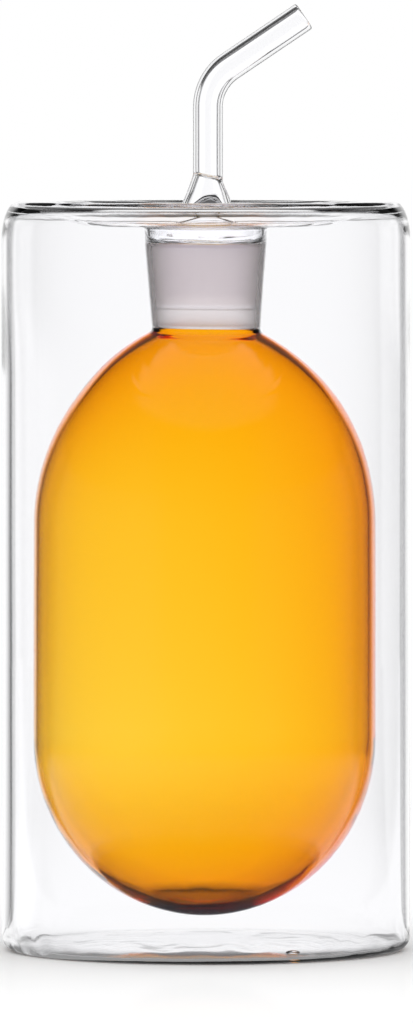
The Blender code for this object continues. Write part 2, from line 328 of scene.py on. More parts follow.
class Lathe(NodeModifier):
    """Spins an outline round the Z axis and waves it like drawn and flame-worked glass."""

    def __init__(self) -> None:
        """Build the tree: a grid with a row for each outline point, wrapped round the axis."""
        super().__init__(
            "turned glass",
            {
                "Steps": ("NodeSocketInt", 192),
                "Drawn Wave Length": ("NodeSocketFloat", 18 * MM),
                "Drawn Stretch": ("NodeSocketFloat", 0.3),
                "Worked Wave Length": ("NodeSocketFloat", 4 * MM),
                "Seed": ("NodeSocketFloat", 0.0),
                "Glass": ("NodeSocketMaterial", None),
                "Ground Glass": ("NodeSocketMaterial", None),
            },
        )
        outline = self.given["Geometry"]
        count = self.add("GeometryNodeAttributeDomainSize", outline, component="MESH")
        last = self.add(MATH, count, 1.0, operation="SUBTRACT")
        columns = self.add(MATH, self.given["Steps"], 1.0, operation="ADD")
        grid = self.add("GeometryNodeMeshGrid", 1.0, 1.0, columns, count)
        position = self.add("GeometryNodeInputPosition")
        right, up, _ = self.add(SPLIT, position).node.outputs
        share = self.add(MATH, up, 0.5, operation="ADD")
        row = self.add(MATH, self.add(MATH, share, last, operation="MULTIPLY"), operation="ROUND")
        turn = self.add(MATH, self.add(MATH, right, 0.5, operation="ADD"), FULL_TURN, operation="MULTIPLY")
        self.sine = self.add(MATH, turn, operation="SINE")
        self.cosine = self.add(MATH, turn, operation="COSINE")

        kinds = {"across": "FLOAT_VECTOR"} | dict.fromkeys(MARKS, "FLOAT")
        carried = {
            name: self.add("GeometryNodeInputNamedAttribute", {"Name": name}, data_type=kind)
            for name, kind in kinds.items()
        }
        kinds["point"], carried["point"] = "FLOAT_VECTOR", position
        read = {
            name: self.add(
                "GeometryNodeSampleIndex",
                {"Geometry": outline, "Value": value, "Index": row},
                data_type=kinds[name],
                domain="POINT",
            )
            for name, value in carried.items()
        }

        turned = self.spun(read["point"])
        stretch = self.add(JOIN, 1.0, 1.0, self.given["Drawn Stretch"])
        drawn_place = self.add(VECTOR, turned, stretch, operation="MULTIPLY")
        drawn = self.add(MATH, read["drawn"], self.wave(drawn_place, "Drawn Wave Length"), operation="MULTIPLY")
        worked = self.wave(turned, "Worked Wave Length")
        height = self.add(MATH, read["worked"], worked, drawn, operation="MULTIPLY_ADD")
        shift = self.add(VECTOR, {0: self.spun(read["across"]), "Scale": height}, operation="SCALE")
        waved = self.add(VECTOR, turned, shift, operation="ADD")
        final = self.add(VECTOR, waved, self.add(JOIN, read["aside"]), operation="ADD")

        mark = {"Geometry": grid, "Name": "ground", "Value": read["ground"]}
        marked = self.add("GeometryNodeStoreNamedAttribute", mark, data_type="FLOAT", domain="POINT")
        wrapped = self.add("GeometryNodeSetPosition", {"Geometry": marked, "Position": final})
        merged = self.add("GeometryNodeMergeByDistance", {"Geometry": wrapped, "Distance": SAME_PLACE})
        glassed = self.dressed(self.add("GeometryNodeSetShadeSmooth", {"Geometry": merged}))
        is_ground = self.add("FunctionNodeCompare", carried["ground"], ALL_GROUND, operation="GREATER_THAN")
        band = {"Geometry": glassed, "Selection": is_ground, "Material": self.given["Ground Glass"]}
        self.close(self.add("GeometryNodeSetMaterial", band))

    def spun(self, vector: Socket) -> Socket:
        """Turn a vector of (radius, zero, height) about the Z axis.

        Args:
            vector: The vector.

        Returns:
            The turned vector.
        """
        radius, _, height = self.add(SPLIT, vector).node.outputs
        x, y = (self.add(MATH, radius, part, operation="MULTIPLY") for part in (self.cosine, self.sine))
        return self.add(JOIN, x, y, height)

    def wave(self, place: Socket, length: str) -> Socket:
        """Smooth noise between -1 and 1 over the glass.

        Args:
            place: Where it is read.
            length: The input that holds its wave length.

        Returns:
            The noise value's socket.
        """
        scale = self.add(MATH, 1.0, self.given[length], operation="DIVIDE")
        grain = {"Scale": scale, "Detail": 1.0, "Roughness": WAVE_ROUGHNESS}
        noise = self.add(NOISE, grain | {"Vector": place, "W": self.given["Seed"]}, noise_dimensions="4D")
        return self.add(MATH, noise, 2.0, -1.0, operation="MULTIPLY_ADD")


class Bend(NodeModifier):
    """Bends an upright tube towards +X about one arc, straight before and after it."""

    def __init__(self) -> None:
        """Build the tree from the arc's start height, radius and angle."""
        super().__init__(
            "bent tube",
            {
                "Start Height": ("NodeSocketFloat", 0.0),
                "Bend Radius": ("NodeSocketFloat", 9 * MM),
                "Bend Angle": ("NodeSocketFloat", 1.0),
                "Glass": ("NodeSocketMaterial", None),
            },
        )
        x, y, z = self.add(SPLIT, self.add("GeometryNodeInputPosition")).node.outputs
        start, radius = self.given["Start Height"], self.given["Bend Radius"]
        past = self.add(MATH, self.add(MATH, z, start, operation="SUBTRACT"), 0.0, operation="MAXIMUM")
        turn = self.add(MATH, past, radius, operation="DIVIDE")
        angle = self.add(MATH, turn, self.given["Bend Angle"], operation="MINIMUM")
        beyond = self.add(MATH, past, self.add(MATH, angle, radius, operation="MULTIPLY"), operation="SUBTRACT")
        sine = self.add(MATH, angle, operation="SINE")
        cosine = self.add(MATH, angle, operation="COSINE")
        across = self.add(MATH, x, radius, operation="SUBTRACT")
        bent_x = self.add(MATH, across, cosine, radius, operation="MULTIPLY_ADD")
        low = self.add(MATH, z, start, operation="MINIMUM")
        bent_z = self.add(MATH, low, self.add(MATH, across, sine, operation="MULTIPLY"), operation="SUBTRACT")
        new_x = self.add(MATH, beyond, sine, bent_x, operation="MULTIPLY_ADD")
        new_z = self.add(MATH, beyond, cosine, bent_z, operation="MULTIPLY_ADD")
        moved = {"Geometry": self.given["Geometry"], "Position": self.add(JOIN, new_x, y, new_z)}
        self.close(self.dressed(self.add("GeometryNodeSetPosition", moved)))


@dataclass(frozen=True)
class Borosilicate:
    """What every finish of the glass starts from."""

    name: str = "borosilicate glass"
    tint: str = "#FFFFFF"
    ior: float = 1.474
    roughness: float = 0.0

    def start(self) -> tuple[Material, Graph, Node, Socket]:
        """A new material that passes light.

        Returns:
            The material, its tree, its shader and the socket of its place on the piece.
        """
        material = bpy.data.materials.new(self.name)
        material.use_nodes = True
        graph = Graph(material.node_tree)
        shader = graph.tree.nodes["Principled BSDF"]
        surface = {"Base Color": linear(self.tint), "Metallic": 0.0, "Roughness": self.roughness}
        graph.set(shader, surface | {"IOR": self.ior, "Transmission Weight": 1.0})
        return material, graph, shader, graph.add(PLACE, output="Object")


@dataclass(frozen=True)
class ClearBorosilicate(Borosilicate):
    """Clear borosilicate glass, drawn as tube and worked in the flame.

    It gives the eye a nearly invisible wall with dark and bright lines at its edges, bent here and there
    by the faint upright ridges of the drawing. Its colour lies in its depth.
    """

    name: str = "clear borosilicate glass"
    tint: str = "#FEFEFF"
    mirror_tint: str = "#6C6C70"
    edge_tint: str = "#D9D6E2"
    edge_density: float = 4.0
    ridge_width: float = 2.6 * MM
    ridge_depth: float = 0.0035 * MM
    ridge_stretch: float = 0.05

    def material(self) -> Material:
        """The finish as a material."""
        return self.polished()[0]

    def polished(self) -> tuple[Material, Graph, Node, Socket]:
        """The polished surface with its ridges, and the colour in its depth.

        Returns:
            The material, its tree, its shader and the socket of its place on the piece.
        """
        material, graph, shader, place = self.start()
        upright = graph.add("ShaderNodeMapping", {"Vector": place, "Scale": (1.0, 1.0, self.ridge_stretch)})
        ridges = graph.add(NOISE, {"Vector": upright, "Scale": 1 / self.ridge_width, "Detail": 1.0})
        bump = graph.add("ShaderNodeBump", {"Strength": 1.0, "Distance": self.ridge_depth, "Height": ridges})
        depth = graph.add(
            "ShaderNodeVolumeAbsorption", {"Color": linear(self.edge_tint), "Density": self.edge_density}
        )
        graph.set(shader, {"Specular Tint": linear(self.mirror_tint), "Normal": bump})
        graph.set(graph.tree.nodes["Material Output"], {"Volume": depth})
        return material, graph, shader, place


@dataclass(frozen=True)
class AmberBorosilicate(ClearBorosilicate):
    """Amber borosilicate glass, blown: yellow through one wall, orange to brown where light goes further.

    A faint violet film on the lower part is what its reflections show at the edges, and the foot's colour is
    darkened to a deep violet: painted shade for the dark seen through the bottom.
    """

    name: str = "amber borosilicate glass"
    tint: str = "#FFFEFA"
    mirror_tint: str = "#5A4890"
    edge_tint: str = "#FEED3F"
    edge_density: float = 2050.0
    ridge_width: float = 5.0 * MM
    ridge_depth: float = 0.006 * MM
    ridge_stretch: float = 0.4
    film_tint: str = "#B9A0E8"
    film_weight: float = 0.06
    film_roughness: float = 0.3
    film_height: Range = (19.0 * MM, 34.0 * MM)
    film_patch: float = 14.0 * MM
    # painted shade: up to this height the foot's colour is darkened to a deep violet, for the dark seen through
    # the bottom
    painted_shade_tint: str = "#170F28"
    painted_shade_height: Range = (7.8 * MM, 9.8 * MM)

    def material(self) -> Material:
        """The finish as a material, with the film and the painted shade at the foot.

        Returns:
            The material.
        """
        material, graph, shader, place = self.polished()
        height = graph.add(SPLIT, place, output="Z")
        patches = graph.add(NOISE, {"Vector": place, "Scale": 1 / self.film_patch, "Detail": 1.0})
        ragged = graph.add(MATH, patches, self.film_patch, height, operation="MULTIPLY_ADD")
        film = graph.add(STEP, ragged, *self.film_height, self.film_weight, 0.0, **SMOOTH)
        # painted shade: below this height the base colour turns deep violet
        clear = graph.add(STEP, height, *self.painted_shade_height, **SMOOTH)
        tints = {"Factor": clear, 6: linear(self.painted_shade_tint), 7: linear(self.tint)}
        colour = graph.add(MIX, tints, output=2, data_type="RGBA")
        veil = {"Sheen Weight": film, "Sheen Tint": linear(self.film_tint)}
        graph.set(shader, veil | {"Sheen Roughness": self.film_roughness, "Base Color": colour})
        return material


@dataclass(frozen=True)
class GroundBorosilicate(Borosilicate):
    """Borosilicate glass ground with grit: a grey-white matt band with faint rings round it."""

    name: str = "ground borosilicate glass"
    tint: str = "#FFFBFA"
    roughness: float = 0.45
    roughness_spread: float = 0.08
    mottle: str = "#F4EDEC"
    ring_pitch: float = 0.45 * MM
    ring_depth: float = 0.004 * MM
    ring_stretch: float = 0.02
    grit: float = 0.25 * MM  # the real marks are finer; these are as coarse as they need to be to show

    def material(self) -> Material:
        """The finish as a material.

        Returns:
            The material.
        """
        material, graph, shader, place = self.start()
        grain = graph.add(NOISE, {"Vector": place, "Scale": 1 / self.grit, "Detail": 3.0})
        level = (self.ring_stretch, self.ring_stretch, 1.0)
        flat = graph.add("ShaderNodeMapping", {"Vector": place, "Scale": level})
        rings = graph.add(NOISE, {"Vector": flat, "Scale": 1 / self.ring_pitch, "Detail": 2.0})
        bump = graph.add("ShaderNodeBump", {"Strength": 1.0, "Distance": self.ring_depth, "Height": rings})
        tints = {"Factor": grain, 6: linear(self.tint), 7: linear(self.mottle)}
        colour = graph.add(MIX, tints, output=2, data_type="RGBA")
        low, high = (self.roughness + side * self.roughness_spread / 2 for side in (-1, 1))
        rough = graph.add(STEP, {"Value": grain, "To Min": low, "To Max": high})
        graph.set(shader, {"Base Color": colour, "Roughness": rough, "Normal": bump})
        return material


@dataclass
class Workshop:
    """The trees and glasses that all pieces are made with."""

    lathe: Lathe = field(default_factory=Lathe)
    bend: Bend = field(default_factory=Bend)
    clear: Material = field(default_factory=lambda: ClearBorosilicate().material())
    amber: Material = field(default_factory=lambda: AmberBorosilicate().material())
    ground: Material = field(default_factory=lambda: GroundBorosilicate().material())
    fine: Material = field(
        default_factory=lambda: GroundBorosilicate("finely ground borosilicate glass", roughness=0.22).material()
    )

    def turn(
        self,
        name: str,
        outline: Outline,
        glass: Material,
        closed: bool = True,
        steps: int = 192,
        seed: float = 0.0,
        ground: Material | None = None,
    ) -> Piece:
        """Spin an outline into a piece.

        Args:
            name: The piece's name.
            outline: Its section.
            glass: Its glass.
            closed: Whether the outline is a ring; otherwise it starts and ends on the axis.
            steps: Flat steps round the axis.
            seed: Which waves it gets.
            ground: The glass of its ground band, if not the neck's.

        Returns:
            The piece, with its plain mesh.
        """
        piece = outline.profile(name, closed)
        matt = ground or self.ground
        self.lathe.apply(piece, {"Steps": steps, "Seed": seed, "Glass": glass, "Ground Glass": matt})
        return piece

    def hand_over(self, piece: Piece, body: Body, nodes: tuple[str, ...]) -> None:
        """Point the faces outwards, count what is open and give the piece its place in the frame.

        Args:
            piece: The finished piece.
            body: The body that it rides on.
            nodes: The CAD nodes that it replaces.
        """
        bm = bmesh.new()
        bm.from_mesh(piece.data)
        bmesh.ops.recalc_face_normals(bm, faces=bm.faces)
        if bm.calc_volume(signed=True) < 0:
            bmesh.ops.reverse_faces(bm, faces=bm.faces)
        open_edges = sum(not edge.is_manifold for edge in bm.edges)
        volume = bm.calc_volume(signed=True) / CUBIC_CM
        bm.to_mesh(piece.data)
        bm.free()
        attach(piece, body.value)
        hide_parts(*nodes)
        faces = len(piece.data.polygons)
        LOG.info("%s: %d faces, %d open edges, %.2f cm3, for %s", piece.name, faces, open_edges, volume, nodes)


@dataclass
class OuterShell:
    """The clear cylinder, its base and its funnel-shaped top, welded into one piece of glass."""

    wall: float = 1.12 * MM
    wall_offset: float = 0.5 * MM
    offset_range: Range = (35.0 * MM, 14.0 * MM)  # below the top: the whole offset, and none
    plate: float = 1.2 * MM
    base: float = 1.0 * MM
    kick: float = 0.9 * MM
    kick_radius: float = 12.0 * MM
    heel: float = 2.6 * MM
    corner_width: float = 2.9 * MM
    corner_height: float = 7.0 * MM
    inner_corner_width: float = 2.6 * MM
    inner_corner_height: float = 3.8 * MM
    dish_drop: float = 4.2 * MM
    brim_radius: float = 29.95 * MM
    well_radius: float = 19.35 * MM
    dish_handle: float = 5.0 * MM
    root_depth: float = 0.9 * MM
    throat_height: float = 3.4 * MM
    throat_radius: float = 10.35 * MM
    throat_wall: float = 0.85 * MM
    fillet_run: float = 3.1 * MM
    fillet_height: float = 1.4 * MM
    lip: float = 0.5 * MM
    weld_seam: float = 0.03 * MM
    drawn_wave: float = 0.02 * MM
    worked_wave: float = 0.04 * MM
    heel_wave: float = 0.09 * MM
    outer_heel_wave: float = 0.045 * MM
    base_wave: float = 0.015 * MM
    row: float = 2.0 * MM
    base_steps: int = 14
    heel_steps: int = 14
    groove_steps: int = 12
    corner_steps: int = 26
    inner_corner_steps: int = 18
    dish_steps: int = 24
    lip_steps: int = 8
    fillet_steps: int = 10
    turn_steps: int = 256
    seed: float = 3.0

    def __post_init__(self) -> None:
        """Take the outer sizes from the frame."""
        low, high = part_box("outer_jacket")
        self.radius = (high.x - low.x) / 2
        self.height = high.z
        self.mouth_z = self.height - self.dish_drop
        self.seam_z = self.mouth_z - self.throat_height
        self.ring = self.radius - self.heel
        self.tilt = math.atan(2 * self.kick / (self.ring - self.kick_radius))

    def floor_z(self, radius: float) -> float:
        """Height of the inner bottom, which is pushed up in the middle, at a radius."""
        out = max(0.0, radius - self.kick_radius) / (self.ring - self.kick_radius)
        return self.base + self.kick * (1 - out**2)

    def outside(self) -> Outline:
        """The outline from the middle of the base up the wall to the mouth and down the throat.

        Returns:
            The outline.
        """
        line = Outline()
        line.add((0.0, self.kick))
        line.line_to((self.kick_radius, self.kick), self.row)
        line.glass(worked=self.base_wave)
        foot = (self.ring - self.heel * math.sin(self.tilt), self.heel * (1 - math.cos(self.tilt)))
        line.curve_to(self.base_steps, ((self.kick_radius + foot[0]) / 2, self.kick), foot)
        line.glass(worked=self.outer_heel_wave)
        heel = ((self.ring, self.heel), (self.heel, self.heel))
        line.arc(self.heel_steps, *heel, -QUARTER_TURN - self.tilt, 0.0)
        line.glass(drawn=self.drawn_wave)
        line.line_to((self.radius, self.height - self.corner_height), self.row)
        line.glass(worked=self.worked_wave * CALM)
        centre = (self.radius - self.corner_width, self.height - self.corner_height)
        line.arc(self.corner_steps, centre, (self.corner_width, self.corner_height), 0.0, QUARTER_TURN)
        line.glass(worked=self.worked_wave)
        line.line_to((self.brim_radius, self.height), self.row / 2)
        line.curve_to(
            self.dish_steps,
            (self.brim_radius - self.dish_handle, self.height),
            (self.well_radius + self.dish_handle, self.mouth_z),
            (self.well_radius, self.mouth_z),
        )
        throat = self.throat_radius
        line.line_to((throat + self.lip, self.mouth_z), self.row / 2)
        line.glass(worked=self.worked_wave * CALM)
        line.curve_to(self.lip_steps, (throat, self.mouth_z), (throat, self.mouth_z - self.lip))
        line.line_to((throat, self.seam_z + self.weld_seam), self.row / 4)
        return line

    def inside(self) -> Outline:
        """The outline from the throat's outer side along the dish's underside down to the inner bottom.

        Returns:
            The outline.
        """
        line = Outline()
        outer = self.throat_radius + self.throat_wall
        root_z = self.mouth_z - self.root_depth
        line.glass(worked=self.worked_wave * CALM)
        line.add((outer, self.seam_z + self.weld_seam))
        line.line_to((outer, root_z - self.fillet_height), self.row / 4)
        line.curve_to(self.fillet_steps, (outer, root_z), (outer + self.fillet_run, root_z))
        side = self.radius - self.wall
        rim = side - self.inner_corner_width
        under_z = self.height - self.plate
        line.glass(worked=self.worked_wave)
        line.line_to((self.well_radius, root_z), self.row / 2)
        line.curve_to(
            self.dish_steps,
            (self.well_radius + self.dish_handle, root_z),
            (self.brim_radius - self.dish_handle, under_z),
            (self.brim_radius, under_z),
        )
        line.line_to((rim, under_z), self.row / 2)
        line.glass(worked=self.worked_wave * CALM)
        corner = (self.inner_corner_width, self.inner_corner_height)
        line.arc(self.inner_corner_steps, (rim, under_z - corner[1]), corner, QUARTER_TURN, 0.0)
        line.glass(drawn=self.drawn_wave)
        line.line_to((side, self.heel), self.row)
        line.glass(worked=self.heel_wave)
        groove = ((self.ring, self.heel), (self.heel - self.wall, self.heel - self.base))
        line.arc(self.groove_steps, *groove, 0.0, -QUARTER_TURN - self.tilt)
        line.glass(worked=self.base_wave)
        middle_z = self.base + self.kick
        half_way = (self.kick_radius + line.points[-1][0]) / 2
        line.curve_to(self.base_steps, (half_way, middle_z), (self.kick_radius, middle_z))
        line.glass()
        line.line_to((0.0, middle_z), self.row)
        line.lean(self.wall_offset, *(self.height - depth for depth in self.offset_range))
        return line

    def build(self, shop: Workshop) -> None:
        """Make the shell.

        Args:
            shop: The trees and glasses.
        """
        line = self.outside()
        line.extend(self.inside())
        shell = shop.turn("outer_shell", line, shop.clear, closed=False, steps=self.turn_steps, seed=self.seed)
        shop.hand_over(shell, Body.BOTTLE, ("outer_jacket", "base_disc", "top_dish"))


@dataclass
class VentBead:
    """The melted bead over the vent hole in the base."""

    radius: float = 1.3 * MM
    edge: float = 0.13 * MM
    rise: float = 0.55 * MM
    seat: float = 0.02 * MM
    row: float = 0.22 * MM
    edge_steps: int = 4
    top_steps: int = 14
    turn_steps: int = 48

    def build(self, shop: Workshop, shell: OuterShell) -> None:
        """Make the bead and move its mesh onto the vent.

        Args:
            shop: The trees and glasses.
            shell: The shell that carries it.
        """
        low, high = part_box("vent_seal")
        flat = self.radius - self.edge
        line = Outline()
        line.add((0.0, 0.0))
        line.line_to((flat, 0.0), self.row)
        line.arc(self.edge_steps, (flat, self.edge), (self.edge, self.edge), -QUARTER_TURN, 0.0)
        line.arc(self.top_steps, (0.0, self.edge), (self.radius, self.rise), 0.0, QUARTER_TURN)
        bead = shop.turn("vent_bead", line, shop.clear, closed=False, steps=self.turn_steps)
        centre = (low + high) / 2
        offset = Vector((centre.x, centre.y, shell.floor_z(centre.xy.length) + self.seat))
        for vertex in bead.data.vertices:
            vertex.co += offset
        shop.hand_over(bead, Body.BOTTLE, ("vent_seal",))


@dataclass
class Neck:
    """The tapered neck: clear outside, ground inside."""

    wall: float = 1.1 * MM
    taper: float = 0.0805
    edge: float = 0.12 * MM
    row: float = 0.5 * MM
    worked_wave: float = 0.03 * MM
    seed: float = 5.0

    def __post_init__(self) -> None:
        """Take the outer sizes from the frame."""
        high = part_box("neck_socket")[1]
        self.top_z = high.z
        self.foot_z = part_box("inner_flask")[1].z
        self.top_radius = high.x
        self.foot_radius = self.top_radius - self.taper * (self.top_z - self.foot_z)

    def build(self, shop: Workshop) -> None:
        """Make the neck.

        Args:
            shop: The trees and glasses.
        """
        inner_foot = self.foot_radius - self.wall
        inner_top = self.top_radius - self.wall
        line = Outline()
        line.glass(worked=self.worked_wave)
        line.add((inner_foot, self.foot_z))
        line.line_to((self.foot_radius, self.foot_z), self.row)
        line.line_to((self.top_radius, self.top_z), self.row)
        line.line_to((inner_top, self.top_z), self.row)
        line.glass(ground=1.0)
        line.line_to((inner_top, self.top_z - self.edge), self.row)
        line.line_to((inner_foot, self.foot_z + self.edge), self.row)
        neck = shop.turn("ground_neck", line, shop.clear, seed=self.seed)
        shop.hand_over(neck, Body.BOTTLE, ("neck_socket",))


@dataclass
class Flask:
    """The amber flask: its round bottom has a small flat floor inside, with the glass thick under it."""

    wall: float = 1.1 * MM
    floor: float = 2.8 * MM
    floor_corner: float = 1.2 * MM
    neck_wall: float = 1.1 * MM
    end_height: float = 32.6 * MM
    shoulder: float = 39.5 * MM
    shoulder_extra: float = 0.4 * MM
    end_extra: float = 0.5 * MM
    thin: float = 0.2 * MM
    fillet: float = 0.6 * MM
    seam: float = 0.03 * MM
    hang_offset: float = -0.45 * MM
    wall_offset: float = -0.26 * MM
    drawn_wave: float = 0.03 * MM
    worked_wave: float = 0.02 * MM
    row: float = 2.0 * MM
    end_steps: int = 56
    inner_end_steps: int = 48
    shoulder_steps: int = 40
    corner_steps: int = 8
    turn_steps: int = 256
    seed: float = 8.0

    def wall_line(self, neck: float, top_z: float, curve: float, centre: Point, side: float) -> Outline:
        """One wall of the flask, from the top of the straight side up to the neck.

        Args:
            neck: Radius of the neck.
            top_z: Height at which the neck ends.
            curve: Radius of the shoulder's curve.
            centre: Centre of that curve.
            side: Radius of the straight side.

        Returns:
            The outline.
        """
        line = Outline()
        line.glass(drawn=self.drawn_wave)
        line.add((side, centre[1]))
        end_angle = math.acos((neck + self.fillet - centre[0]) / curve)
        line.arc(self.shoulder_steps, centre, (curve, curve), 0.0, end_angle)
        corner_z = centre[1] + math.sqrt(curve**2 - (neck - centre[0]) ** 2)
        line.glass()
        line.curve_to(self.corner_steps, (neck, corner_z), (neck, min(corner_z + 2 * self.fillet, top_z)))
        line.line_to((neck, top_z), self.row / 4)
        return line

    def build(self, shop: Workshop, neck: Neck) -> None:
        """Make the flask under its neck.

        Args:
            shop: The trees and glasses.
            neck: The neck that it hangs from.
        """
        low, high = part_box("inner_flask")
        radius = high.x
        top_z = high.z - self.seam
        centre_radius = radius - self.shoulder
        rise = math.sqrt(self.shoulder**2 - (neck.foot_radius - centre_radius) ** 2)
        centre = (centre_radius, high.z - self.fillet - rise)
        bottom_z = low.z + self.end_height

        line = Outline()
        line.glass(worked=self.worked_wave)
        line.arc(self.end_steps, (0.0, bottom_z), (radius, self.end_height), -QUARTER_TURN, 0.0)
        line.glass(drawn=self.drawn_wave)
        line.line_to((radius, centre[1]), self.row)
        line.extend(self.wall_line(neck.foot_radius, top_z, self.shoulder, centre, radius))
        line.lean(self.hang_offset, centre[1], high.z - self.fillet)

        inside = Outline()
        inner_neck = neck.foot_radius - self.neck_wall
        inner_centre = (centre_radius, centre[1] - self.shoulder_extra)
        curve, side = self.shoulder - self.wall, radius - self.wall
        inside.extend(self.wall_line(inner_neck, top_z, curve, inner_centre, side), backwards=True)
        inside.glass(drawn=self.drawn_wave)
        inner_z = bottom_z + self.end_extra
        inner = (side + self.thin, self.end_height - self.wall)
        inside.line_to((inner[0], inner_z), self.row)
        inside.glass(worked=self.worked_wave)
        floor_z = low.z + self.floor
        floor_angle = math.asin((inner_z - floor_z) / inner[1])
        ring = inner[0] * math.cos(floor_angle)
        inside.arc(self.inner_end_steps, (0.0, inner_z), inner, 0.0, self.floor_corner / inner[0] - floor_angle)
        inside.curve_to(self.corner_steps, (ring, floor_z), (ring - self.floor_corner, floor_z))
        inside.line_to((0.0, floor_z), self.row / 2)
        inside.lean(self.hang_offset + self.wall_offset, centre[1], high.z - self.fillet)
        line.extend(inside)
        flask = shop.turn("amber_flask", line, shop.amber, closed=False, steps=self.turn_steps, seed=self.seed)
        shop.hand_over(flask, Body.BOTTLE, ("inner_flask",))


@dataclass
class Cone:
    """The stopper's hollow ground cone."""

    wall: float = 1.2 * MM
    edge: float = 0.4 * MM
    row: float = 0.5 * MM
    edge_steps: int = 6
    seed: float = 11.0

    def build(self, shop: Workshop, neck: Neck) -> None:
        """Make the cone.

        Args:
            shop: The trees and glasses.
            neck: The neck whose taper it shares.
        """
        low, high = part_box("stopper_cone")
        foot_radius = high.x - neck.taper * (high.z - low.z)
        bore = foot_radius - self.wall
        line = Outline()
        line.add((high.x - self.wall, high.z))
        line.line_to((bore, low.z + self.edge), self.row)
        line.curve_to(self.edge_steps, (bore, low.z), ((bore + foot_radius) / 2, low.z))
        line.curve_to(self.edge_steps, (foot_radius, low.z), (foot_radius, low.z + self.edge))
        line.glass(ground=1.0)
        line.line_to((high.x, high.z), self.row)
        line.glass()
        line.line_to((high.x - self.wall, high.z), self.row)
        cone = shop.turn("ground_cone", line, shop.clear, seed=self.seed, ground=shop.fine)
        shop.hand_over(cone, Body.STOPPER, ("stopper_cone",))


@dataclass
class Collar:
    """The clear collar above the ground cone, turned in at its top to a disc."""

    wall: float = 1.2 * MM
    disc: float = 1.2 * MM
    edge: float = 0.8 * MM
    seam: float = 0.03 * MM
    row: float = 0.5 * MM
    worked_wave: float = 0.02 * MM
    edge_steps: int = 10
    inner_edge_steps: int = 8
    seed: float = 17.0

    def build(self, shop: Workshop, hole: float) -> None:
        """Make the collar.

        Args:
            shop: The trees and glasses.
            hole: Radius of the opening in the disc, on which the dome stands.
        """
        low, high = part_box("stopper_collar")
        inner = high.x - self.wall
        foot_z = low.z - WELD_GAP + self.seam
        under_z = high.z - self.disc
        line = Outline()
        line.glass(worked=self.worked_wave)
        line.add((inner, foot_z))
        line.line_to((high.x, foot_z), self.row)
        line.line_to((high.x, high.z - self.edge), self.row)
        line.curve_to(self.edge_steps, (high.x, high.z), (high.x - self.edge, high.z))
        for corner in ((hole, high.z), (hole, under_z), (inner - self.edge, under_z)):
            line.line_to(corner, self.row)
        line.curve_to(self.inner_edge_steps, (inner, under_z), (inner, under_z - self.edge))
        line.line_to((inner, foot_z), self.row)
        collar = shop.turn("stopper_collar_glass", line, shop.clear, seed=self.seed)
        shop.hand_over(collar, Body.STOPPER, ("stopper_collar",))


